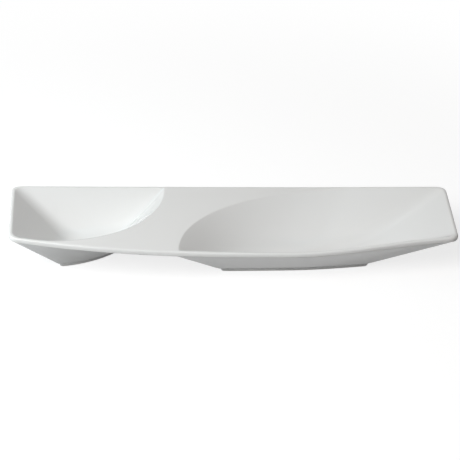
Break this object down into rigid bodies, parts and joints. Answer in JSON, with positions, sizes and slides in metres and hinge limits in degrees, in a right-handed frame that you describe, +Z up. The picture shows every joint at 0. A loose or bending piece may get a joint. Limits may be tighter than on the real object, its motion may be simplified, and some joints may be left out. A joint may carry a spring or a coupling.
{
  "type": "divided serving plate",
  "caption": "Long white glazed serving plate with a small deep well and a long shallow well, a flat bridge sweeping diagonally between them, and a low foot ring under each well.",
  "frame": {"origin": "middle of the plate's outline, on the table", "axes": "+X along the plate towards the large well, -Y towards the side the picture is taken from, +Z up from the table"},
  "size_m": [0.36, 0.111, 0.0381],
  "materials": {
    "white_glaze": "gloss",
    "ground_bisque": "matte"
  },
  "bodies": {
    "root": {"plate_body": "white_glaze", "small_foot_ring": "ground_bisque", "large_foot_ring": "ground_bisque"}
  },
  "joints": []
}
